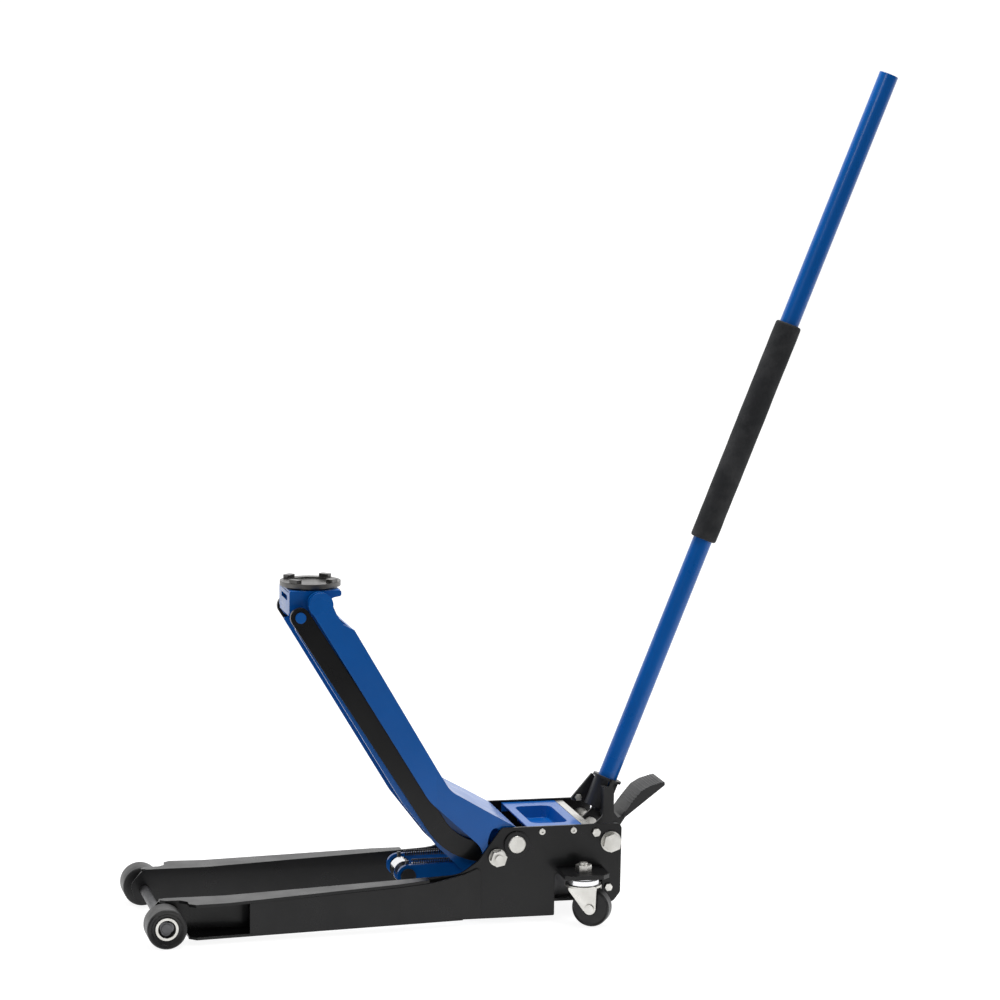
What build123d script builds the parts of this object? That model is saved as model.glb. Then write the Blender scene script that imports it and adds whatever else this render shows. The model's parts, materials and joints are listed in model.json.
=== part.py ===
"""Low-profile hydraulic trolley jack with its arm raised. Millimetres, +Z up, near side -Y.

X is measured from the front axle towards the handle while the pieces are drawn. save() then moves
each piece so that the origin is on the floor under the middle of the jack's outer box.
"""

from build123d import *
from math import atan2, cos, degrees, hypot, radians, sin, tan
import os

os.makedirs("parts", exist_ok=True)

# ---------------------------------------------------------------- driving dimensions
running = 0.06

wheel_radius = 28.0
wheel_inner_y = 105.0
wheel_outer_y = 147.0
axle_radius = 7.0
axle_z = wheel_radius

plate_inner_y = 86.0
plate_outer_y = 90.0
rail_bottom_z = 8.0
rail_front_z = 58.0
rail_rear_z = 71.0
rail_rear_x = 385.0
fold = 4.0
plate_top_z = 138.0
plate_bottom_z = 24.0
plate_rear_x = 660.0

main_pivot = (506.0, 114.0)
main_pin_radius = 12.5
link_offset = (-28.0, -18.0)
link_pivot = (main_pivot[0] + link_offset[0], main_pivot[1] + link_offset[1])
head_pivot = (228.0, 460.0)
link_head = (head_pivot[0] + link_offset[0], head_pivot[1] + link_offset[1])
beam_angle = -58.4
beam_front = -48.8
beam_cover_front = -16.0
beam_back = 17.0

cheek_y = (36.0, 41.0)
inner_plate_y = (43.0, 49.0)
link_y = (51.0, 58.0)
cover_y = (60.0, 64.0)
cover_root_y = (80.0, 84.0)
flare_x = (395.0, 470.0)

lobe_radius = 62.0
lobe_angle = 234.0
lobe_pivot = (
    main_pivot[0] + lobe_radius * cos(radians(lobe_angle)),
    main_pivot[1] + lobe_radius * sin(radians(lobe_angle)),
)
crosshead = (360.0, 62.0)
ram_radius = 10.0
cylinder_radius = 27.0
drag_y = (34.0, 40.0)
spring_y = 28.0
spring_z = 80.0
spring_radius = 4.6
spring_anchor_x = 540.0

saddle_x = 224.0
saddle_radius = 43.0

caster_post = (597.0, 118.0)
caster_turn = 29.0
caster_trail = 13.0
caster_radius = 27.0

handle_pivot = (644.0, 112.0)
handle_foot = (632.6, 112.0)
handle_lean = 21.7
handle_length = 1170.0
handle_radius = 14.0
pedal_pivot = (666.0, 122.0)

handle_end_x = handle_foot[0] + handle_length * sin(radians(handle_lean))
rear_limit = handle_end_x + handle_radius * cos(radians(handle_lean))
middle_x = (rear_limit - wheel_radius) / 2

sides = (("near", -1), ("far", 1))


# ---------------------------------------------------------------- helpers
def save(part, label):
    """Moves a finished piece into the shared frame and writes it."""
    moved = Pos(-middle_x, 0, 0) * part
    moved.label = label
    export_step(moved, f"parts/{label}.step")


def span(sign, layer):
    """The low and high Y of a layer given as distances from the middle plane."""
    return layer if sign > 0 else (-layer[1], -layer[0])


def slab(shape, layer, mode=Mode.ADD):
    """Extrudes a flat (x, z) shape between two Y values."""
    face = Plane.XZ.offset(-layer[1]) * shape
    extrude(face, amount=layer[1] - layer[0], dir=(0, -1, 0), mode=mode)


def polygon(points):
    """A flat face through straight-sided (x, z) points."""
    return Face(Wire.make_polygon([Vector(*point) for point in points], close=True))


def disc(centre, radius):
    return Face(Wire.make_circle(radius, Plane((centre[0], centre[1], 0))))


def hexagon(centre, across_flats, turn=0.0):
    corner = across_flats / 2 / cos(radians(30))
    angles = [radians(turn + 60 * i) for i in range(6)]
    return polygon([(centre[0] + corner * cos(a), centre[1] + corner * sin(a)) for a in angles])


def rod_y(centre, radius, layer, mode=Mode.ADD):
    """A round bar across the jack."""
    with Locations((centre[0], (layer[0] + layer[1]) / 2, centre[1])):
        Cylinder(radius, layer[1] - layer[0], rotation=(90, 0, 0), mode=mode)


def rod_x(y, z, radius, x_low, x_high, mode=Mode.ADD):
    """A round bar along the jack."""
    with Locations(((x_low + x_high) / 2, y, z)):
        Cylinder(radius, x_high - x_low, rotation=(0, 90, 0), mode=mode)


def rod_z(x, y, radius, z_low, z_high, mode=Mode.ADD):
    """An upright round bar."""
    with Locations((x, y, (z_low + z_high) / 2)):
        Cylinder(radius, z_high - z_low, mode=mode)


def rounded(corners):
    """A flat face through (x, z, radius) corners."""
    edges = []
    exits = []
    entries = []
    middles = []
    count = len(corners)
    for i, (x, z, radius) in enumerate(corners):
        before = Vector(*corners[i - 1][:2]) - Vector(x, z)
        after = Vector(*corners[(i + 1) % count][:2]) - Vector(x, z)
        before = before.normalized()
        after = after.normalized()
        half = radians(before.get_angle(after)) / 2
        if radius <= 0 or half > radians(89.8):
            entries.append(Vector(x, z))
            exits.append(Vector(x, z))
            middles.append(None)
            continue
        reach = radius / tan(half)
        bisector = (before + after).normalized()
        entries.append(Vector(x, z) + before * reach)
        exits.append(Vector(x, z) + after * reach)
        middles.append(Vector(x, z) + bisector * (radius / sin(half) - radius))
    for i in range(count):
        if middles[i] is not None:
            edges.append(Edge.make_three_point_arc(entries[i], middles[i], exits[i]))
        if (entries[(i + 1) % count] - exits[i]).length > 1e-4:
            edges.append(Edge.make_line(exits[i], entries[(i + 1) % count]))
    return Face(Wire(edges))


beam_u = (cos(radians(beam_angle)), sin(radians(beam_angle)))
beam_n = (-beam_u[1], beam_u[0])


def on_beam(along, across):
    """A point measured from the head pivot, down the straight beam and out of its back."""
    x = head_pivot[0] + along * beam_u[0] + across * beam_n[0]
    z = head_pivot[1] + along * beam_u[1] + across * beam_n[1]
    return (x, z)


def on_handle(along):
    """The (x, z) point on the handle's axis, measured from its foot."""
    x = handle_foot[0] + along * sin(radians(handle_lean))
    z = handle_foot[1] + along * cos(radians(handle_lean))
    return (x, z)


def handle_rod(radius, low, high, mode=Mode.ADD, y=0.0):
    """A round bar along the handle."""
    x, z = on_handle((low + high) / 2)
    with Locations((x, y, z)):
        Cylinder(radius, high - low, rotation=(0, handle_lean, 0), mode=mode)


# ---------------------------------------------------------------- side plates
def rail_top_z(x):
    return rail_front_z + max(0.0, (rail_rear_z - rail_front_z) * (x - 90) / (rail_rear_x - 90))


def flange_reach(x):
    return 134.0 - 0.0733 * (x - 35)


web_outline = rounded(
    [
        (-14, 14, 12),
        (-1, rail_bottom_z, 14),
        (562, rail_bottom_z, 2),
        (562, 70, 8),
        (632, 70, 8),
        (632, plate_bottom_z, 2),
        (648, plate_bottom_z, 10),
        (plate_rear_x - 1, 38, 8),
        (plate_rear_x, plate_top_z, 8),
        (484, plate_top_z, 8),
        (451, 92, 26),
        (424, 73, 40),
        (rail_rear_x, rail_rear_z, 60),
        (90, rail_front_z, 200),
        (-2, rail_front_z, 16),
        (-20, 36, 12),
    ]
)

top_fold = polygon(
    [
        (90, rail_front_z - fold),
        (90, rail_front_z),
        (rail_rear_x - 8, rail_top_z(rail_rear_x - 8)),
        (rail_rear_x - 8, rail_top_z(rail_rear_x - 8) - fold),
    ]
)
for side_name, sign in sides:
    web = span(sign, (plate_inner_y, plate_outer_y))
    with BuildPart() as side_plate:
        slab(web_outline, web)
        # Flanges folded outwards, wide behind the wheel and narrow at the ramp.
        with BuildSketch(Plane.XY.offset(rail_bottom_z)):
            with BuildLine():
                Polyline(
                    (33, sign * 89),
                    (33, sign * 124),
                    (43, sign * 133.4),
                    (428, sign * 94),
                    (428, sign * 89),
                    close=True,
                )
            make_face()
        extrude(amount=fold)
        with BuildSketch(Plane.XY.offset(rail_front_z - fold)):
            with BuildLine():
                Polyline(
                    (-4, sign * 89),
                    (-4, sign * 96),
                    (4, sign * 102.5),
                    (23, sign * 102.5),
                    (33, sign * 112),
                    (33, sign * 126),
                    (42, sign * 133.5),
                    (91, sign * 129.9),
                    (91, sign * 89),
                    close=True,
                )
            make_face()
        extrude(amount=fold)
        slab(top_fold, span(sign, (89, 129.97)))
        with BuildSketch(Plane.XY.offset(rail_front_z - fold - 2)):
            with BuildLine():
                Polyline(
                    (91.2, sign * 129.89),
                    (335, sign * 112),
                    (rail_rear_x - 8, sign * 104),
                    (rail_rear_x, sign * 104),
                    (rail_rear_x, sign * 131),
                    (91.2, sign * 131),
                    close=True,
                )
            make_face()
        extrude(amount=30, mode=Mode.SUBTRACT)
        rod_y((0, axle_z), axle_radius, span(sign, (80, 95)), Mode.SUBTRACT)
        rod_y(main_pivot, main_pin_radius, span(sign, (80, 95)), Mode.SUBTRACT)
        rod_y(link_pivot, 6.0, span(sign, (80, 95)), Mode.SUBTRACT)
        rod_y(handle_pivot, 8.0, span(sign, (80, 95)), Mode.SUBTRACT)
        for hole in ((543, 130.5), (589, 130.5), (622, 126.5), (641, 46)):
            rod_y(hole, 2.5, span(sign, (80, 95)), Mode.SUBTRACT)
    save(side_plate.part, f"side_plate_{side_name}")

# ---------------------------------------------------------------- outer boxing panels
panel_side = rounded(
    [
        (118, rail_bottom_z + fold, 0),
        (454, rail_bottom_z + fold, 4),
        (454, 84, 6),
        (430, 74, 30),
        (rail_rear_x, rail_rear_z - fold - 1, 40),
        (90, rail_front_z - fold, 0),
        (118, rail_top_z(118) - fold, 0),
    ]
)
for side_name, sign in sides:
    with BuildPart() as boxing_panel:
        with BuildSketch(Plane.XY.offset(rail_bottom_z + fold)):
            with BuildLine():
                Polyline(
                    (118, sign * 126.5),
                    (335, sign * 110.5),
                    (436, sign * 93),
                    (454, sign * 92.5),
                    (454, sign * 90),
                    (430, sign * 90.3),
                    (334, sign * 107.5),
                    (118, sign * 123.5),
                    close=True,
                )
            make_face()
        extrude(amount=70)
        panel_cut = Plane.XZ.offset(-130) * panel_side
        extrude(panel_cut, amount=260, dir=(0, -1, 0), mode=Mode.INTERSECT)
    save(boxing_panel.part, f"outer_panel_{side_name}")

# ---------------------------------------------------------------- front axle and wheels
hub_floor_y = 132.0
with BuildPart() as front_axle:
    rod_y((0, axle_z), axle_radius, (-140, 140))
save(front_axle.part, "front_axle")

with BuildPart() as axle_spacers:
    for sign in (-1, 1):
        slab(disc((0, axle_z), 11) - disc((0, axle_z), axle_radius), span(sign, (90, 104.5)))
save(axle_spacers.part, "axle_spacers")

nut_lobes = disc((0, axle_z), 8.6)
for lobe in range(3):
    lobe_turn = radians(20 + 120 * lobe)
    nut_lobes += disc((3.2 * cos(lobe_turn), axle_z + 3.2 * sin(lobe_turn)), 7.4)
with BuildPart() as axle_nuts:
    for sign in (-1, 1):
        slab(nut_lobes - disc((0, axle_z), axle_radius), span(sign, (132.6, 139)))
save(axle_nuts.part, "axle_nuts")

ring_outer = 16.0
ring_inner = 12.4
wheel_profile = [
    (axle_radius + running, 0),
    (24, 0),
    (27, 0.8),
    (28, 3),
    (28, 38.5),
    (27.2, 40.8),
    (25.4, 42),
    (23.2, 41.2),
    (20.2, 38),
    (ring_outer, 36.5),
    (ring_outer, hub_floor_y - wheel_inner_y),
    (axle_radius + running, hub_floor_y - wheel_inner_y),
]
for side_name, sign in sides:
    with BuildPart() as front_wheel:
        with BuildSketch(Plane.XY.offset(axle_z)):
            with BuildLine():
                Polyline(*[(r, sign * (wheel_inner_y + w)) for r, w in wheel_profile], close=True)
            make_face()
        revolve(axis=Axis((0, 0, axle_z), (0, 1, 0)))
    save(front_wheel.part, f"front_wheel_{side_name}")
    with BuildPart() as hub_ring:
        band = disc((0, axle_z), ring_outer) - disc((0, axle_z), ring_inner)
        slab(band, span(sign, (hub_floor_y, 143.5)))
    save(hub_ring.part, f"hub_ring_{side_name}")

# ---------------------------------------------------------------- plates between the sides
with BuildPart() as base_plate:
    with BuildSketch(Plane.XY.offset(plate_bottom_z)):
        with Locations((544, 0)):
            Rectangle(36, 2 * plate_inner_y)
        with Locations((597, 0)):
            Rectangle(72, 144)
        with Locations((640, 0)):
            Rectangle(16, 2 * plate_inner_y)
    extrude(amount=4)
save(base_plate.part, "base_plate")

with BuildPart() as rear_cross_plate:
    with Locations((653, 0, 48)):
        Box(5, 2 * plate_inner_y, 34)
save(rear_cross_plate.part, "rear_cross_plate")

# ---------------------------------------------------------------- pivots in the side plates
with BuildPart() as main_pin:
    rod_y(main_pivot, main_pin_radius, (-95, 95))
    chamfer(main_pin.edges().filter_by(GeomType.CIRCLE), 1.0)
save(main_pin.part, "main_pin")

with BuildPart() as pin_bosses:
    for sign in (-1, 1):
        slab(disc(main_pivot, 18.5) - disc(main_pivot, main_pin_radius), span(sign, (90, 93.5)))
save(pin_bosses.part, "pin_bosses")

with BuildPart() as link_studs:
    for sign in (-1, 1):
        rod_y(link_pivot, 6.0, span(sign, (49.5, 105)))
        rod_y(link_pivot, 9.0, span(sign, (49.4, 50.8)))
        rod_y(link_pivot, 9.0, span(sign, (58.4, 77.6)))
save(link_studs.part, "link_studs")

with BuildPart() as link_nuts:
    for sign in (-1, 1):
        slab(disc(link_pivot, 12.5) - disc(link_pivot, 6.0), span(sign, (90, 92.2)))
        slab(hexagon(link_pivot, 21, 12) - disc(link_pivot, 6.0), span(sign, (92.2, 102)))
save(link_nuts.part, "link_nuts")

# ---------------------------------------------------------------- tool tray and bar
tray_top_z = 135.0
with BuildPart() as tool_tray:
    with Locations((565, 0, tray_top_z - 1)):
        Box(80, 2 * plate_inner_y, 2)
    with Locations((565, -85, tray_top_z - 7), (565, 85, tray_top_z - 7)):
        Box(80, 2, 12)
    with BuildSketch(Plane.XY.offset(tray_top_z - 1)):
        with Locations((563.5, 0)):
            RectangleRounded(57, 116, 14)
    extrude(amount=-18, taper=14)
    with BuildSketch(Plane.XY.offset(tray_top_z)):
        with Locations((563.5, 0)):
            RectangleRounded(54, 113, 12.5)
    extrude(amount=-17, taper=14, mode=Mode.SUBTRACT)
    for hole_x in (543, 589):
        rod_y((hole_x, 130.5), 2.5, (-88, -80), Mode.SUBTRACT)
        rod_y((hole_x, 130.5), 2.5, (80, 88), Mode.SUBTRACT)
save(tool_tray.part, "tool_tray")

with BuildPart() as tray_screws:
    for sign in (-1, 1):
        for hole_x in (543, 589):
            rod_y((hole_x, 130.5), 2.5, span(sign, (82, 90)))
            head = disc((hole_x, 130.5), 4.4) - hexagon((hole_x, 130.5), 3.0)
            slab(head, span(sign, (90, 91.8)))
save(tray_screws.part, "tray_screws")

with BuildPart() as tray_bar:
    with Locations((611.5, 0, 132)):
        Box(11, 2 * plate_inner_y, 6)
save(tray_bar.part, "tray_bar")

with BuildPart() as frame_bolts:
    for sign in (-1, 1):
        for spot, flats in (((622, 126.5), 11), ((641, 46), 10)):
            rod_y(spot, 2.5, span(sign, (81, 90)))
            slab(hexagon(spot, flats, 8), span(sign, (90, 94.5)))
save(frame_bolts.part, "frame_bolts")

# ---------------------------------------------------------------- power unit
block_front_x = 560.0
block_rear_x = 606.0
piston_seat = (-18.0, 84.0)
spindle_low = -60.0
spindle_high = -14.0
with BuildPart() as pump_block:
    with Locations(((block_front_x + block_rear_x) / 2, 0, 69)):
        Box(block_rear_x - block_front_x, 110, 82)
    fillet(pump_block.edges().filter_by(Axis.Z), 7)
    with Locations((613, 0, 47)):
        Box(26, 70, 38)
    rod_x(*piston_seat, 11, block_rear_x - 2, block_rear_x + 4)
    rod_x(*piston_seat, 6 + running, block_rear_x - 34, block_rear_x + 6, Mode.SUBTRACT)
    handle_rod(5 + running, spindle_low, spindle_high, Mode.SUBTRACT)
save(pump_block.part, "pump_block")

cylinder_front_x = 452.0
with BuildPart() as ram_cylinder:
    rod_x(0, crosshead[1], cylinder_radius, cylinder_front_x, block_front_x)
    rod_x(0, crosshead[1], 16, cylinder_front_x - 1, block_front_x + 1, Mode.SUBTRACT)
save(ram_cylinder.part, "ram_cylinder")

with BuildPart() as cylinder_gland:
    with BuildSketch(Plane.YZ.offset(cylinder_front_x - 8)):
        with Locations((0, crosshead[1])):
            RegularPolygon(22, 6, major_radius=False)
            Circle(ram_radius + running, mode=Mode.SUBTRACT)
    extrude(amount=8)
save(cylinder_gland.part, "cylinder_gland")

with BuildPart() as filler_plug:
    rod_z(597, 32, 7, 110, 114)
    with BuildSketch(Plane.XY.offset(114)):
        with Locations((597, 32)):
            RegularPolygon(5, 6, major_radius=False)
    extrude(amount=3)
save(filler_plug.part, "filler_plug")

with BuildPart() as spring_anchor:
    rod_y((spring_anchor_x, spring_z + 12), 3.2, (-34, 34))
    for sign in (-1, 1):
        rod_z(spring_anchor_x, sign * spring_y, 2.6, spring_z - 5, spring_z + 12)
        with Locations(((spring_anchor_x + block_front_x) / 2, sign * 14, spring_z + 13)):
            Box(block_front_x - spring_anchor_x, 5, 6)
save(spring_anchor.part, "spring_anchor")

# ---------------------------------------------------------------- ram, crosshead, springs, drag links
cross_pin_radius = 11.0
with BuildPart() as ram_rod:
    rod_x(0, crosshead[1], ram_radius, crosshead[0], 490)
    rod_y(crosshead, 16, (-14, 14))
    rod_y(crosshead, cross_pin_radius, (-20, 20), Mode.SUBTRACT)
save(ram_rod.part, "ram_rod")

with BuildPart() as crosshead_pin:
    rod_y(crosshead, cross_pin_radius, (-42, 42))
    for sign in (-1, 1):
        rod_z(crosshead[0], sign * spring_y, 2.8, crosshead[1], spring_z + 2)
save(crosshead_pin.part, "crosshead_pin")

spring_front_x = crosshead[0] + 7
spring_rear_x = spring_anchor_x - 7
with BuildPart() as return_springs:
    for sign in (-1, 1):
        rod_x(sign * spring_y, spring_z, spring_radius, spring_front_x, spring_rear_x)
    for sign in (-1, 1):
        rod_x(sign * spring_y, spring_z, spring_radius - 1.6, 300, 600, Mode.SUBTRACT)
save(return_springs.part, "return_springs")

slot_centre = (lobe_pivot[0], lobe_pivot[1] - 4.0)
drag_outline = rounded(
    [
        (crosshead[0], crosshead[1] - 16, 0),
        (lobe_pivot[0] - 30, 44, 20),
        (lobe_pivot[0] - 12, 40, 10),
        (lobe_pivot[0] + 16, 40, 10),
        (lobe_pivot[0] + 16, 80, 12),
        (lobe_pivot[0] - 20, 80, 12),
        (crosshead[0], crosshead[1] + 16, 0),
    ]
)
drag_outline += disc(crosshead, 16)
drag_outline -= disc(crosshead, cross_pin_radius + running)
drag_outline -= Pos(*slot_centre) * RectangleRounded(18.8, 28, 9)
with BuildPart() as drag_links:
    for sign in (-1, 1):
        slab(drag_outline, span(sign, drag_y))
save(drag_links.part, "drag_links")

# ---------------------------------------------------------------- lifting arm
plate_outline = rounded(
    [
        (*on_beam(2, -16.5), 0),
        (*on_beam(15, -22), 6),
        (*on_beam(11, beam_front + 1), 3),
        (*on_beam(310, beam_front), 80),
        (400, 105, 30),
        (424, 82, 20),
        (446, 60, 20),
        (lobe_pivot[0] - 3, lobe_pivot[1] - 16, 0),
        (lobe_pivot[0] + 13, lobe_pivot[1] - 9, 0),
        (main_pivot[0] + 16.2, main_pivot[1] - 2, 0),
        (main_pivot[0] + 2, main_pivot[1] + 16, 0),
        (main_pivot[0] - 22, main_pivot[1] + 30, 20),
        (412, 181.5, 40),
        (*on_beam(60, 16.5), 8),
        (*on_beam(34, 12), 10),
        (*on_beam(0, 16.5), 0),
    ]
)
plate_outline += disc(head_pivot, 16.5) + disc(main_pivot, 16.4) + disc(lobe_pivot, 16)
with BuildPart() as arm_plates:
    for sign in (-1, 1):
        slab(plate_outline, span(sign, inner_plate_y))
    rod_y(main_pivot, main_pin_radius + running, (-60, 60), Mode.SUBTRACT)
    rod_y(head_pivot, 8.0, (-60, 60), Mode.SUBTRACT)
    rod_y(lobe_pivot, 8.0, (-60, 60), Mode.SUBTRACT)
save(arm_plates.part, "arm_plates")


def cover_profile(lift):
    """The cover's side outline with its back moved in by lift."""
    return rounded(
        [
            (*on_beam(0, beam_cover_front), 0),
            (*on_beam(326, beam_cover_front), 70),
            (456, 110, 30),
            (464, 84, 14),
            (492, 80, 12),
            (main_pivot[0] + 20, main_pivot[1] - 12, 6),
            (main_pivot[0] + 1, main_pivot[1] + 23 - lift, 4),
            (414 - 0.5 * lift, 189.5 - 0.95 * lift, 36),
            (*on_beam(56, 21.5), 4),
            (*on_beam(40, 12), 4),
            (*on_beam(0, 12), 0),
        ]
    )


def cover_plan(sheet):
    """The cover seen from above, with its sides moved in by the sheet's thickness."""
    high = cover_y[1] - sheet
    root = cover_root_y[1] - sheet
    half = [(100, high), (flare_x[0], high), (flare_x[1], root), (560, root)]
    return polygon(half + [(x, -y) for x, y in reversed(half)])


stud_reach = hypot(*link_offset)
stud_angle = degrees(atan2(link_offset[1], link_offset[0])) % 360
stud_slot = SlotArc(CenterArc((0, 0), stud_reach, stud_angle - 61, 63), 14.0)
hollow_outline = rounded(
    [
        (100, 560, 0),
        (100, 40, 0),
        (560, 40, 0),
        (main_pivot[0] + 60, main_pivot[1] - 12, 0),
        (main_pivot[0] + 30, main_pivot[1] + 2, 0),
        (412, 185.7, 36),
        (*on_beam(-90, 19.9), 0),
    ]
)
with BuildPart() as cover_hollow:
    slab(hollow_outline, (-90, 90))
    extrude(Plane.XY.offset(-60) * cover_plan(4.0), amount=660, dir=(0, 0, 1), mode=Mode.INTERSECT)
with BuildPart() as arm_cover:
    slab(cover_profile(0.0), (-90, 90))
    extrude(Plane.XY.offset(60) * cover_plan(0.0), amount=480, dir=(0, 0, 1), mode=Mode.INTERSECT)
    add(cover_hollow.part, mode=Mode.SUBTRACT)
    # Rounded cheeks round the head pivot, clear of the saddle between them.
    for sign in (-1, 1):
        slab(disc(head_pivot, 17.5), span(sign, cover_y))
    rod_y(main_pivot, main_pin_radius + running, (-90, 90), Mode.SUBTRACT)
    slab(Pos(*main_pivot) * stud_slot, (-90, 90), Mode.SUBTRACT)
save(arm_cover.part, "arm_cover")

with BuildPart() as arm_sleeve:
    tube = disc(main_pivot, 16.3) - disc(main_pivot, main_pin_radius + running)
    slab(tube, (-inner_plate_y[0], inner_plate_y[0]))
save(arm_sleeve.part, "arm_sleeve")

with BuildPart() as arm_cross_tube:
    slab(disc((330, 262), 9) - disc((330, 262), 6.5), (-inner_plate_y[0], inner_plate_y[0]))
save(arm_cross_tube.part, "arm_cross_tube")

with BuildPart() as lobe_pins:
    for sign in (-1, 1):
        rod_y(lobe_pivot, 8.0, span(sign, (33.2, 49)))
save(lobe_pins.part, "lobe_pins")

with BuildPart() as head_pin:
    rod_y(head_pivot, 8.0, (-50, 50))
save(head_pin.part, "head_pin")

# ---------------------------------------------------------------- radius links
link_corner = (420.6, 101.0)
link_half = 14.0


def bent_bar(start, corner, end, half, bend):
    """A round-ended bar of even width with one rounded bend."""
    first = (Vector(*corner) - Vector(*start)).normalized()
    second = (Vector(*end) - Vector(*corner)).normalized()
    left_first = Vector(-first.Y, first.X) * half
    left_second = Vector(-second.Y, second.X) * half
    miter = (left_first + left_second) * (half**2 / (half**2 + left_first.dot(left_second)))
    inner = bend - half
    outer = bend + half
    flat = rounded(
        [
            (start[0] + left_first.X, start[1] + left_first.Y, 0),
            (corner[0] + miter.X, corner[1] + miter.Y, inner),
            (end[0] + left_second.X, end[1] + left_second.Y, 0),
            (end[0] - left_second.X, end[1] - left_second.Y, 0),
            (corner[0] - miter.X, corner[1] - miter.Y, outer),
            (start[0] - left_first.X, start[1] - left_first.Y, 0),
        ]
    )
    return flat + disc(start, half) + disc(end, half)


link_outline = bent_bar(link_head, link_corner, link_pivot, link_half, 88)
link_outline -= disc(link_head, 7 + running) + disc(link_pivot, 6 + running)
with BuildPart() as radius_links:
    for sign in (-1, 1):
        slab(link_outline, span(sign, link_y))
save(radius_links.part, "radius_links")

# ---------------------------------------------------------------- saddle and its bracket
bracket_side = rounded(
    [
        (187, 446, 7),
        (194, 431, 8),
        (210, 430, 10),
        (243, 450, 14),
        (244, 466, 10),
        (261, 469, 3),
        (261, 477, 3),
        (187, 477, 3),
    ]
)
with BuildPart() as saddle_bracket:
    for sign in (-1, 1):
        slab(bracket_side, span(sign, cheek_y))
    with Locations((190, 0, 458)):
        Box(6, 2 * cheek_y[0], 32)
    with Locations((224, 0, 474.5)):
        Box(72, 2 * cheek_y[0], 5)
    with Locations((188, 0, 465)):
        Box(8, 46, 7, mode=Mode.SUBTRACT)
    rod_y(head_pivot, 8 + running, (-50, 50), Mode.SUBTRACT)
    rod_y(link_head, 7, (-50, 50), Mode.SUBTRACT)
    rod_z(saddle_x, 0, 9 + running, 460, 480, Mode.SUBTRACT)
save(saddle_bracket.part, "saddle_bracket")

with BuildPart() as link_head_pins:
    for sign in (-1, 1):
        rod_y(link_head, 7, span(sign, (34, 60)))
        rod_y(link_head, 10, span(sign, (cheek_y[1], 42.4)))
        rod_y(link_head, 10, span(sign, (49.4, 50.8)))
        rod_y(link_head, 7.6, span(sign, (58.2, 61)))
save(link_head_pins.part, "link_head_pins")

with BuildPart() as saddle_plate:
    rod_z(saddle_x, 0, 34, 477.3, 481)
    rod_z(saddle_x, 0, saddle_radius, 479.5, 486)
    rod_z(saddle_x, 0, 30, 483.5, 490, Mode.SUBTRACT)
    rod_z(saddle_x, 0, 9, 469, 480)
    with BuildSketch(Plane.XY.offset(485)):
        with Locations((saddle_x, 0)):
            with PolarLocations(36.6, 4, 45):
                RectangleRounded(11, 16, 2.5)
    extrude(amount=6)
save(saddle_plate.part, "saddle_plate")

with BuildPart() as saddle_washer:
    rod_z(saddle_x, 0, 13, 469, 471.6)
    rod_z(saddle_x, 0, 9, 460, 480, Mode.SUBTRACT)
save(saddle_washer.part, "saddle_washer")

# ---------------------------------------------------------------- casters
shelf_z = (71.0, 77.0)
with BuildPart() as caster_shelves:
    for sign in (-1, 1):
        with BuildSketch(Plane.XY.offset(shelf_z[0])):
            with BuildLine():
                Polyline(
                    (565, sign * 90),
                    (565, sign * 138),
                    (575, sign * 147),
                    (619, sign * 147),
                    (630, sign * 136),
                    (632, sign * 90),
                    close=True,
                )
            make_face()
        extrude(amount=shelf_z[1] - shelf_z[0])
    for sign in (-1, 1):
        rod_z(caster_post[0], sign * caster_post[1], 6, 60, 90, Mode.SUBTRACT)
save(caster_shelves.part, "caster_shelves")

with BuildPart() as caster_races:
    for sign in (-1, 1):
        rod_z(caster_post[0], sign * caster_post[1], 19, 67, 71)
        rod_z(caster_post[0], sign * caster_post[1], 22.5, 60, 67)
    for sign in (-1, 1):
        rod_z(caster_post[0], sign * caster_post[1], 6, 50, 90, Mode.SUBTRACT)
save(caster_races.part, "caster_races")

with BuildPart() as caster_bolts:
    for sign in (-1, 1):
        rod_z(caster_post[0], sign * caster_post[1], 6, 54, 90)
        rod_z(caster_post[0], sign * caster_post[1], 7, 54, 55.8)
        with BuildSketch(Plane.XY.offset(shelf_z[1])):
            with Locations((caster_post[0], sign * caster_post[1])):
                RegularPolygon(10, 6, major_radius=False, rotation=14 * sign)
        extrude(amount=10)
save(caster_bolts.part, "caster_bolts")

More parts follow.
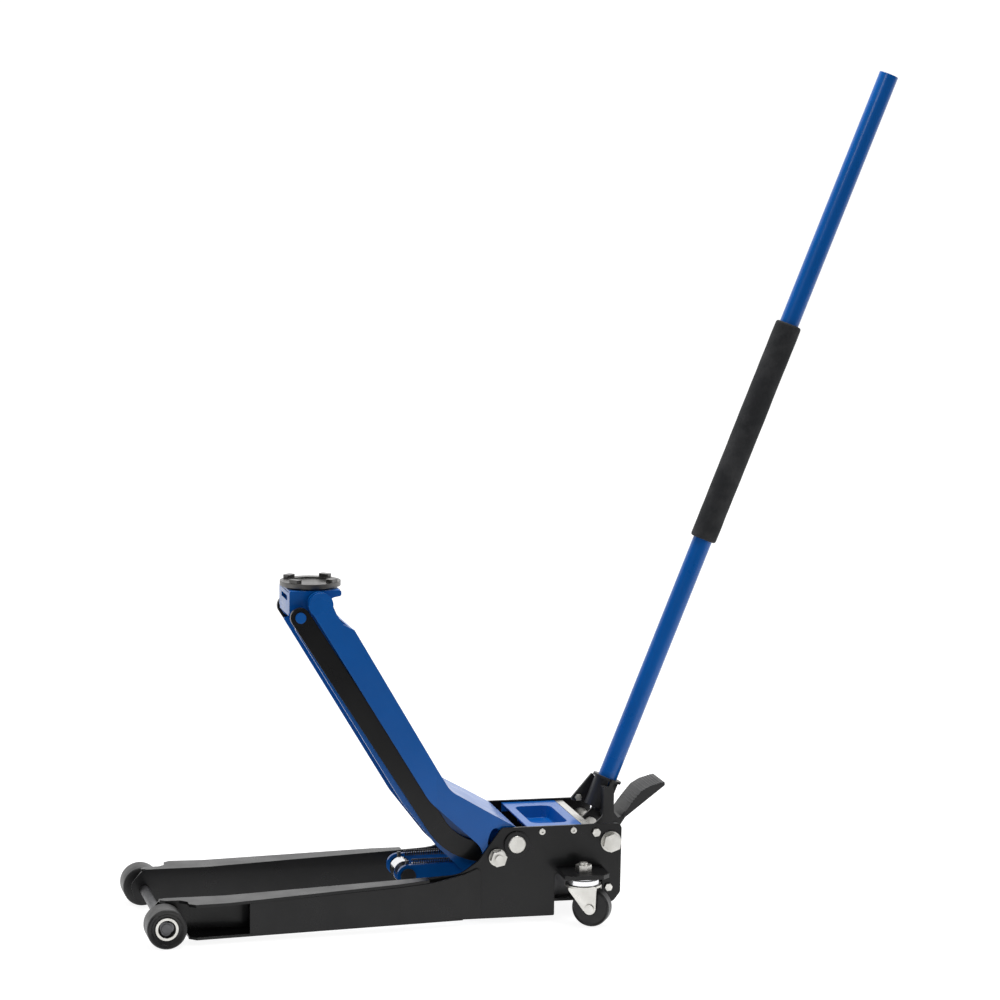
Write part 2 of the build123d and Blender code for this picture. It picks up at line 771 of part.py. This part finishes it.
leg_outline = rounded(
    [(-18, 59.5, 2), (-18, 52, 4), (4, 24, 0), (13, 18.5, 0), (22, 26, 0), (23, 59.5, 2)]
)
leg_outline = leg_outline + disc((caster_trail, caster_radius), 8.5)
tyre_profile = [
    (4 + running, -12),
    (9, -12),
    (9, -9.5),
    (23, -9.5),
    (25.5, -11),
    (27, -8),
    (27, 8),
    (25.5, 11),
    (23, 9.5),
    (9, 9.5),
    (9, 12),
    (4 + running, 12),
]
for side_name, sign in sides:
    place = Pos(caster_post[0], sign * caster_post[1], 0) * Rot(0, 0, sign * caster_turn)
    with BuildPart() as caster_fork:
        for leg in (-1, 1):
            slab(leg_outline, span(leg, (12.6, 15.2)))
        rod_z(0, 0, 26, 56.6, 59.6)
        with Locations((4, 0, 57.8)):
            Box(34, 30.4, 3.6)
        rod_z(0, 0, 6 + running, 40, 80, Mode.SUBTRACT)
        rod_y((caster_trail, caster_radius), 4, (-20, 20), Mode.SUBTRACT)
    save(place * caster_fork.part, f"caster_fork_{side_name}")
    with BuildPart() as caster_axle:
        rod_y((caster_trail, caster_radius), 4, (-15.2, 15.2))
        for leg in (-1, 1):
            rod_y((caster_trail, caster_radius), 6.5, span(leg, (15.2, 17.4)))
    save(place * caster_axle.part, f"caster_axle_{side_name}")
    with BuildPart() as caster_wheel:
        with BuildSketch(Plane.XY.offset(caster_radius)):
            with BuildLine():
                Polyline(*[(caster_trail + r, w) for r, w in tyre_profile], close=True)
            make_face()
        revolve(axis=Axis((caster_trail, 0, caster_radius), (0, 1, 0)))
    save(place * caster_wheel.part, f"caster_wheel_{side_name}")

# ---------------------------------------------------------------- handle socket, pump drive
with BuildPart() as handle_bolts:
    for sign in (-1, 1):
        rod_y(handle_pivot, 8, span(sign, (24, 92.5)))
        rod_y(handle_pivot, 10, span(sign, (24, 26.4)))
        rod_y(handle_pivot, 11, span(sign, (31.8, 86)))
        slab(disc(handle_pivot, 15) - disc(handle_pivot, 8), span(sign, (90, 92.5)))
        slab(hexagon(handle_pivot, 24, 20), span(sign, (92.5, 102)))
save(handle_bolts.part, "handle_bolts")

yoke_side = rounded(
    [
        (648, 178, 3),
        (648, 136, 10),
        (633, 122, 8),
        (632, 104, 10),
        (634, 78, 7),
        (644, 74, 6),
        (654, 80, 7),
        (658, 106, 12),
        (674, 114, 7),
        (674, 128, 7),
        (664, 140, 12),
        (664, 178, 3),
    ]
)
with BuildPart() as handle_socket:
    for sign in (-1, 1):
        slab(yoke_side, span(sign, (27, 31)))
    with Locations((650.5, 0, 156)):
        Box(5, 58, 44)
    handle_rod(18, 34, 80)
    handle_rod(21.5, 76.4, 80)
    fin = rounded([(643, 190, 2), (612, 154, 2), (614, 150, 2), (642, 148, 2), (660, 168, 2)])
    slab(fin, (14, 19))
    handle_rod(handle_radius + 0.08, 10, 100, Mode.SUBTRACT)
    with Locations((*(on_handle(72)[0], -20), on_handle(72)[1])):
        Box(2.6, 20, 20, rotation=(0, handle_lean, 0), mode=Mode.SUBTRACT)
    rod_y(handle_pivot, 8 + running, (-40, 40), Mode.SUBTRACT)
    rod_y((644, 84), 4, (-40, 0), Mode.SUBTRACT)
    rod_y(pedal_pivot, 4, (-40, 40), Mode.SUBTRACT)
    rod_y((622, 155), 3, (0, 40), Mode.SUBTRACT)
save(handle_socket.part, "handle_socket")

with BuildPart() as fin_bolt:
    rod_y((622, 155), 3, (12, 21))
    slab(hexagon((622, 155), 9), (10, 14))
save(fin_bolt.part, "fin_bolt")

with BuildPart() as pump_roller:
    rod_y((644, 84), 4, (-31, -9))
    rod_y((644, 84), 7, (-26.6, -9))
save(pump_roller.part, "pump_roller")

with BuildPart() as pump_piston:
    rod_x(*piston_seat, 6, 597, 636.5)
    chamfer(pump_piston.edges().group_by(Axis.X)[-1], 0.8)
save(pump_piston.part, "pump_piston")

with BuildPart() as release_spindle:
    handle_rod(5, spindle_low + 2, spindle_high)
    handle_rod(7, spindle_high - 6, spindle_high + 4)
save(release_spindle.part, "release_spindle")

with BuildPart() as handle_tube:
    handle_rod(handle_radius, 38, handle_length)
    handle_rod(handle_radius - 1.8, 30, handle_length + 10, Mode.SUBTRACT)
save(handle_tube.part, "handle_tube")

with BuildPart() as foam_grip:
    handle_rod(19.5, 451, 785)
    handle_rod(handle_radius + 0.3, 440, 800, Mode.SUBTRACT)
save(foam_grip.part, "foam_grip")

# ---------------------------------------------------------------- foot pedal
pedal_side = rounded(
    [
        (676, 132, 2),
        (690, 151, 10),
        (705, 169, 8),
        (717, 176, 12),
        (728, 179, 10),
        (740, 182, 1),
        (740, 177, 1),
        (681, 132, 2),
    ]
)
# Fine ribs across the tread: each run's first and last place, and how many.
tread_runs = [((691.5, 151.5), (703.5, 166), 4), ((706, 168.2), (716, 174.3), 3), ((719, 175.6), (738, 181), 5)]
with BuildPart() as foot_pedal:
    slab(pedal_side, (-30, 30))
    pocket = rounded([(700, 158, 2), (707, 165, 2), (731, 174, 1), (731, 164, 1), (700, 140, 1)])
    slab(pocket, (-26, 26), Mode.SUBTRACT)
    lug = rounded([(666, 114.5, 0), (672, 116, 4), (686, 137, 2), (684, 143, 2), (676, 133, 1), (666, 129.5, 0)])
    slab(lug + disc(pedal_pivot, 7.5), (-26.6, 26.6))
    for low, high, ribs in tread_runs:
        for step in range(ribs):
            share = step / ribs
            rib = (low[0] + share * (high[0] - low[0]), low[1] + share * (high[1] - low[1]))
            rod_y(rib, 1.5, (-29, 29))
    rod_y(pedal_pivot, 4 + running, (-40, 40), Mode.SUBTRACT)
save(foot_pedal.part, "foot_pedal")

with BuildPart() as pedal_pin:
    rod_y(pedal_pivot, 4, (-33, 33))
save(pedal_pin.part, "pedal_pin")
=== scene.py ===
"""Looks for the low-profile trolley jack: materials, coil springs, foam grip, studio and camera."""

import json
from math import cos, pi, radians, sin

import bpy
from mathutils import Matrix, Vector, noise


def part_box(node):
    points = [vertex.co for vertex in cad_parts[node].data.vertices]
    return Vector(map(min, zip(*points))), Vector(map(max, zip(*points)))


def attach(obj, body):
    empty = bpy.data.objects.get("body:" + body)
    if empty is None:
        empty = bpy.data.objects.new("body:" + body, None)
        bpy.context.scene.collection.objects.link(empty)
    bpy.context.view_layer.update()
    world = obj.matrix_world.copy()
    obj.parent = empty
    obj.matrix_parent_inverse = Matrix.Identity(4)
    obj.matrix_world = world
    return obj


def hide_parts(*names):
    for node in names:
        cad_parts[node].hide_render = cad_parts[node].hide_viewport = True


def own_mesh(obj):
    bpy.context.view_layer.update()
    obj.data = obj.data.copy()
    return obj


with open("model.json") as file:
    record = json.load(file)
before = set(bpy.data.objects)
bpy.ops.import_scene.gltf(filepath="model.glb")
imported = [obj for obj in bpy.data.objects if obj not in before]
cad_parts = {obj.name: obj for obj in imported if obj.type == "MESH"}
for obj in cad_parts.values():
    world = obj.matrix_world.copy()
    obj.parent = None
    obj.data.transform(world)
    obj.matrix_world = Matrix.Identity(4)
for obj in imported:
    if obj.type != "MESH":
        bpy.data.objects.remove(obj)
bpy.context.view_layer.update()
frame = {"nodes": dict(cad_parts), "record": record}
nodes = frame["nodes"]

AXLE_X = -0.525106


# ---------------------------------------------------------------- shader helpers
def new_material(name):
    material = bpy.data.materials.new(name)
    material.use_nodes = True
    tree = material.node_tree
    shader = tree.nodes["Principled BSDF"]
    return material, tree, shader


def noise_node(tree, scale, detail=4.0, rough=0.55, stretch=(1, 1, 1)):
    """A noise texture fixed to the piece."""
    place = tree.nodes.new("ShaderNodeTexCoord")
    mapping = tree.nodes.new("ShaderNodeMapping")
    texture = tree.nodes.new("ShaderNodeTexNoise")
    mapping.inputs["Scale"].default_value = stretch
    texture.inputs["Scale"].default_value = scale
    texture.inputs["Detail"].default_value = detail
    texture.inputs["Roughness"].default_value = rough
    tree.links.new(place.outputs["Object"], mapping.inputs["Vector"])
    tree.links.new(mapping.outputs["Vector"], texture.inputs["Vector"])
    return texture.outputs["Fac"]


def spread(tree, value, low, high, start=0.3, end=0.7):
    """Maps a texture value onto a range."""
    node = tree.nodes.new("ShaderNodeMapRange")
    node.inputs["From Min"].default_value = start
    node.inputs["From Max"].default_value = end
    node.inputs["To Min"].default_value = low
    node.inputs["To Max"].default_value = high
    tree.links.new(value, node.inputs["Value"])
    return node.outputs["Result"]


def mix_colour(tree, factor, first, second):
    node = tree.nodes.new("ShaderNodeMix")
    node.data_type = "RGBA"
    tree.links.new(factor, node.inputs["Factor"])
    node.inputs["A"].default_value = (*first, 1)
    node.inputs["B"].default_value = (*second, 1)
    return node.outputs["Result"]


def relief(tree, shader, height, strength, distance, edge=0.0):
    """Surface relief, with softened edges where edge is a radius."""
    bump = tree.nodes.new("ShaderNodeBump")
    bump.inputs["Strength"].default_value = strength
    bump.inputs["Distance"].default_value = distance
    tree.links.new(height, bump.inputs["Height"])
    if edge > 0:
        bevel = tree.nodes.new("ShaderNodeBevel")
        bevel.samples = 6
        bevel.inputs["Radius"].default_value = edge
        tree.links.new(bevel.outputs["Normal"], bump.inputs["Normal"])
    tree.links.new(bump.outputs["Normal"], shader.inputs["Normal"])


def paint(name, colour, deep, dust, rough, coat, edge=0.0012):
    """Sprayed paint with slight orange peel and a thin veil of dust."""
    material, tree, shader = new_material(name)
    shade = mix_colour(tree, spread(tree, noise_node(tree, 9, 3), 0, 1), colour, deep)
    veil = tree.nodes.new("ShaderNodeMix")
    veil.data_type = "RGBA"
    tree.links.new(spread(tree, noise_node(tree, 46, 8, 0.7), 0, 0.22, 0.5, 0.85), veil.inputs["Factor"])
    tree.links.new(shade, veil.inputs["A"])
    veil.inputs["B"].default_value = (*dust, 1)
    tree.links.new(veil.outputs["Result"], shader.inputs["Base Color"])
    rough_map = spread(tree, noise_node(tree, 22, 6), rough - 0.05, rough + 0.08)
    tree.links.new(rough_map, shader.inputs["Roughness"])
    shader.inputs["Specular IOR Level"].default_value = 0.25
    shader.inputs["Coat Weight"].default_value = coat
    shader.inputs["Coat Roughness"].default_value = 0.08
    relief(tree, shader, noise_node(tree, 420, 2), 0.1, 0.0004, edge)
    return material


def metal(name, bright, dark, rough, brushed=(1, 1, 1), metallic=1.0, edge=0.0006):
    """Bare or plated metal with uneven finish and faint brushing."""
    material, tree, shader = new_material(name)
    shade = mix_colour(tree, spread(tree, noise_node(tree, 35, 5), 0, 1), bright, dark)
    tree.links.new(shade, shader.inputs["Base Color"])
    shader.inputs["Metallic"].default_value = metallic
    rough_map = spread(tree, noise_node(tree, 120, 4, 0.6, brushed), rough - 0.06, rough + 0.12)
    tree.links.new(rough_map, shader.inputs["Roughness"])
    relief(tree, shader, noise_node(tree, 500, 3, 0.5, brushed), 0.1, 0.0003, edge)
    return material


def plastic(name, colour, scuff, rough, grain, strength, edge=0.0008):
    """Moulded plastic or rubber with fine grain and scuffs."""
    material, tree, shader = new_material(name)
    shade = mix_colour(tree, spread(tree, noise_node(tree, 28, 6), 0, 1, 0.45, 0.75), colour, scuff)
    tree.links.new(shade, shader.inputs["Base Color"])
    rough_map = spread(tree, noise_node(tree, 40, 4), rough - 0.08, rough + 0.08)
    tree.links.new(rough_map, shader.inputs["Roughness"])
    shader.inputs["Specular IOR Level"].default_value = 0.3
    relief(tree, shader, noise_node(tree, grain, 3), strength, 0.0006, edge)
    return material


looks = {
    "gloss_blue_paint": paint(
        "blue", (0.0005, 0.105, 0.42), (0.0005, 0.092, 0.37), (0.01, 0.11, 0.38), 0.3, 0.25
    ),
    "gloss_black_paint": paint(
        "black", (0.006, 0.006, 0.0065), (0.009, 0.009, 0.0095), (0.02, 0.02, 0.02), 0.3, 0.1
    ),
    "grey_paint": paint(
        "grey", (0.022, 0.022, 0.023), (0.03, 0.03, 0.031), (0.06, 0.06, 0.06), 0.42, 0.1
    ),
    "dark_steel": metal("dark_steel", (0.16, 0.16, 0.165), (0.09, 0.09, 0.095), 0.42),
    "bare_steel": metal("bare_steel", (0.2, 0.195, 0.19), (0.12, 0.118, 0.115), 0.34),
    "spring_steel": metal("spring_steel", (0.06, 0.06, 0.062), (0.03, 0.03, 0.03), 0.35),
    "zinc": metal("zinc", (0.78, 0.77, 0.74), (0.62, 0.61, 0.57), 0.3),
    "chrome": metal("chrome", (0.86, 0.86, 0.88), (0.78, 0.78, 0.8), 0.12),
    "black_nylon": plastic("black_nylon", (0.014, 0.014, 0.015), (0.035, 0.034, 0.033), 0.4, 300, 0.2),
    "black_rubber": plastic("black_rubber", (0.02, 0.02, 0.02), (0.04, 0.04, 0.04), 0.7, 260, 0.3),
    "foam": plastic("foam", (0.022, 0.023, 0.025), (0.05, 0.05, 0.052), 0.88, 900, 0.75, 0.0),
}
slot_of = {part["node"]: part["material_slot"] for part in frame["record"]["subparts"]}
for name, node in nodes.items():
    node.data.materials.clear()
    node.data.materials.append(looks[slot_of[name]])


# ---------------------------------------------------------------- mesh helpers
def mesh_piece(name, points, faces, look, smooth=True):
    mesh = bpy.data.meshes.new(name)
    mesh.from_pydata([tuple(p) for p in points], [], faces)
    mesh.validate()
    mesh.update()
    for face in mesh.polygons:
        face.use_smooth = smooth
    piece = bpy.data.objects.new(name, mesh)
    bpy.context.scene.collection.objects.link(piece)
    mesh.materials.append(looks[look])
    return piece


def sweep(path, radius, around=10):
    """Points and faces of a round wire along a path, with closed ends."""
    points, faces = [], []
    side = Vector((0, 0, 1))
    for i, here in enumerate(path):
        ahead = path[min(i + 1, len(path) - 1)]
        behind = path[max(i - 1, 0)]
        along = (ahead - behind).normalized()
        side = (side - along * side.dot(along)).normalized()
        other = along.cross(side)
        for k in range(around):
            turn = 2 * pi * k / around
            points.append(here + side * (radius * cos(turn)) + other * (radius * sin(turn)))
    for i in range(len(path) - 1):
        for k in range(around):
            a = i * around + k
            b = i * around + (k + 1) % around
            faces.append((a, b, b + around, a + around))
    faces.append(tuple(reversed(range(around))))
    faces.append(tuple(range(len(points) - around, len(points))))
    return points, faces


# ---------------------------------------------------------------- return springs
low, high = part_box("return_springs")
wire = 0.0008
spring_y = 0.028
coil_outer = 0.0046
turns = 62
steps_per_turn = 14
for side in (-1, 1):
    centre_y = side * spring_y
    centre_z = (low.z + high.z) / 2
    coil = coil_outer - wire
    path = []
    for i in range(turns * steps_per_turn + 1):
        share = i / (turns * steps_per_turn)
        angle = 2 * pi * turns * share
        x = low.x + wire + (high.x - low.x - 2 * wire) * share
        path.append(Vector((x, centre_y + coil * cos(angle), centre_z + coil * sin(angle))))
    spring = mesh_piece(f"coil_{'far' if side > 0 else 'near'}", *sweep(path, wire, 7), "spring_steel")
    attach(spring, "chassis")
    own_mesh(spring)
    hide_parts("return_springs")

# ---------------------------------------------------------------- foam grip
lean = radians(21.7)
axis = Vector((sin(lean), 0, cos(lean)))
across = Vector((cos(lean), 0, -sin(lean)))
depth = Vector((0, 1, 0))
foot = Vector((AXLE_X + 0.6326, 0, 0.112))
foam_low, foam_high = 0.451, 0.785
outer, inner = 0.0195, 0.0143
end_round = 0.004
end_steps = 8
rings = []
for step in range(end_steps + 1):
    turn = pi / 2 * step / end_steps
    rings.append((inner + 0.0022 + (outer - inner - 0.0022) * sin(turn), foam_low + end_round * (1 - cos(turn))))
body_steps = 90
for step in range(1, body_steps):
    along = foam_low + end_round + (foam_high - foam_low - 2 * end_round) * step / body_steps
    rings.append((outer, along))
for step in range(end_steps + 1):
    turn = pi / 2 * (1 - step / end_steps)
    rings.append((inner + 0.0022 + (outer - inner - 0.0022) * sin(turn), foam_high - end_round * (1 - cos(turn))))
rings.append((inner, foam_high - 0.0005))
for step in range(1, 12):
    rings.append((inner, foam_high - (foam_high - foam_low) * step / 12))
rings.append((inner, foam_low + 0.0005))
around = 64
points, faces = [], []
for radius, along in rings:
    for k in range(around):
        turn = 2 * pi * k / around
        spot = foot + axis * along + across * (radius * cos(turn)) + depth * (radius * sin(turn))
        if radius > inner + 0.001:
            soft = noise.noise(spot * 55) * 0.0003 + noise.noise(spot * 16) * 0.0002 - 0.0004
            spot += (across * cos(turn) + depth * sin(turn)) * soft
        points.append(spot)
count = len(rings)
for i in range(count):
    for k in range(around):
        a = i * around + k
        b = i * around + (k + 1) % around
        c = ((i + 1) % count) * around + (k + 1) % around
        d = ((i + 1) % count) * around + k
        faces.append((a, d, c, b))
foam = mesh_piece("foam_sleeve", points, faces, "foam")
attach(foam, "handle")
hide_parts("foam_grip")

# ---------------------------------------------------------------- studio
# A floor that curves up into a wall behind the jack.
half = 14.0
bend = 1.5
wall_y = 6.0
wall_top = 8.0
bend_steps = 16
floor_path = [(-half, 0.0), (wall_y - bend, 0.0)]
for step in range(1, bend_steps + 1):
    turn = pi / 2 * step / bend_steps
    floor_path.append((wall_y - bend + bend * sin(turn), bend - bend * cos(turn)))
floor_path.append((wall_y, wall_top))
points = [(x, y, z) for y, z in floor_path for x in (-half, half)]
faces = [(2 * i, 2 * i + 1, 2 * i + 3, 2 * i + 2) for i in range(len(floor_path) - 1)]
floor_mesh = bpy.data.meshes.new("floor")
floor_mesh.from_pydata(points, [], faces)
floor_mesh.polygons.foreach_set("use_smooth", [True] * len(faces))
floor = bpy.data.objects.new("floor", floor_mesh)
bpy.context.scene.collection.objects.link(floor)
floor.location.z = -0.0002
floor_look, floor_tree, floor_shader = new_material("floor")
floor_shade = mix_colour(
    floor_tree, spread(floor_tree, noise_node(floor_tree, 2, 3), 0, 1), (0.3, 0.3, 0.3), (0.29, 0.29, 0.29)
)
floor_tree.links.new(floor_shade, floor_shader.inputs["Base Color"])
floor_shader.inputs["Roughness"].default_value = 0.75
floor_shader.inputs["Emission Color"].default_value = (1, 1, 1, 1)
# The floor glows white under and behind the jack and fades out towards the front.
place = floor_tree.nodes.new("ShaderNodeTexCoord")
split = floor_tree.nodes.new("ShaderNodeSeparateXYZ")
floor_tree.links.new(place.outputs["Object"], split.inputs["Vector"])
glow = floor_tree.nodes.new("ShaderNodeMapRange")
floor_tree.links.new(split.outputs["Y"], glow.inputs["Value"])
glow.interpolation_type = "SMOOTHSTEP"
glow.inputs["From Min"].default_value = -1.3
glow.inputs["From Max"].default_value = -0.65
glow.inputs["To Min"].default_value = 0.0
glow.inputs["To Max"].default_value = 0.9
floor_tree.links.new(glow.outputs["Result"], floor_shader.inputs["Emission Strength"])
floor_mesh.materials.append(floor_look)

world = bpy.data.worlds.new("studio")
bpy.context.scene.world = world
world.use_nodes = True
world.node_tree.nodes["Background"].inputs["Color"].default_value = (1, 1, 1, 1)
world.node_tree.nodes["Background"].inputs["Strength"].default_value = 0.1


def soft_light(name, spot, target, width, height, power):
    light = bpy.data.lights.new(name, "AREA")
    light.shape = "RECTANGLE"
    light.size = width
    light.size_y = height
    light.energy = power
    lamp = bpy.data.objects.new(name, light)
    bpy.context.scene.collection.objects.link(lamp)
    lamp.location = spot
    lamp.rotation_euler = (Vector(target) - Vector(spot)).to_track_quat("-Z", "Y").to_euler()
    return lamp


soft_light("key", (-1.8, -2.6, 3.0), (0, 0, 0.3), 1.4, 1.4, 24)
soft_light("fill", (2.8, -1.8, 2.0), (0, 0, 0.3), 1.2, 1.2, 20)
soft_light("top", (0.2, 0.4, 3.4), (0, 0, 0), 1.8, 1.8, 110)

# ---------------------------------------------------------------- camera
yaw, pitch, roll = radians(-13.38), radians(7.695), radians(0.619)
forward = Vector((-sin(yaw) * cos(pitch), cos(yaw) * cos(pitch), -sin(pitch)))
right = Vector((cos(yaw), sin(yaw), 0))
up = right.cross(forward)
right_tilted = right * cos(roll) + up * sin(roll)
up_tilted = up * cos(roll) - right * sin(roll)
camera_data = bpy.data.cameras.new("photo")
camera_data.sensor_width = 36
camera_data.lens = 129.6
camera_data.clip_end = 100
camera = bpy.data.objects.new("photo", camera_data)
bpy.context.scene.collection.objects.link(camera)
turn = Matrix((right_tilted, up_tilted, -forward)).transposed().to_4x4()
camera.matrix_world = Matrix.Translation((AXLE_X - 0.677054, -4.9386, 1.2801)) @ turn
bpy.context.scene.camera = camera
bpy.context.scene.view_settings.view_transform = "Standard"
